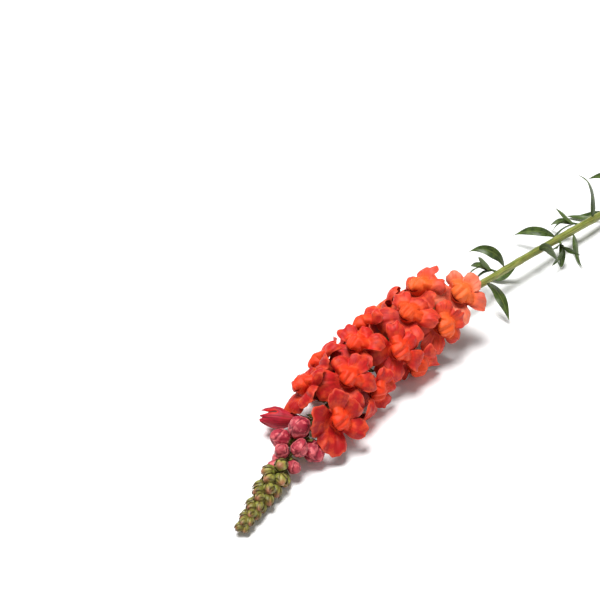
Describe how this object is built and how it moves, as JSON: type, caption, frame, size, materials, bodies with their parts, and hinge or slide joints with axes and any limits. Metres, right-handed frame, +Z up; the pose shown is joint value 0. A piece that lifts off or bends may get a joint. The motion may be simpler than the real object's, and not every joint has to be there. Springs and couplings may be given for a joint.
{
  "type": "cut snapdragon stem",
  "caption": "Cut snapdragon stem lying down: a leafy stalk with a spike of ruffled red-orange florets, pink buds above them and a green tip.",
  "frame": {"origin": "on the table, under the middle of the part's box", "axes": "+X runs from the cut end to the tip of the spike, +Z is up as the stem lies"},
  "size_m": [0.718, 0.1206, 0.0639],
  "materials": {
    "green": "satin, finely haired near the tip",
    "petal": "velvety matt",
    "bud": "velvety satin",
    "leaf": "satin"
  },
  "bodies": {
    "root": {"stem": "green", "floret_01": "petal", "floret_02": "petal", "floret_03": "petal", "floret_04": "petal", "floret_05": "petal", "floret_06": "petal", "floret_07": "petal", "floret_08": "petal", "floret_09": "petal", "floret_10": "petal", "floret_11": "petal", "floret_12": "petal", "floret_13": "petal", "floret_14": "petal", "floret_15": "petal", "floret_16": "petal", "floret_17": "petal", "floret_18": "petal", "bud_01": "bud", "bud_02": "bud", "bud_03": "bud", "bud_04": "bud", "bud_05": "bud", "bud_06": "bud", "bud_07": "bud", "bud_08": "bud", "leaf_01": "leaf", "leaf_02": "leaf", "leaf_03": "leaf", "leaf_04": "leaf", "leaf_05": "leaf", "leaf_06": "leaf", "leaf_07": "leaf", "leaf_08": "leaf", "leaf_09": "leaf", "leaf_10": "leaf", "leaf_11": "leaf", "side_shoot_01": "leaf", "side_shoot_02": "leaf", "side_shoot_03": "leaf"}
  },
  "joints": []
}
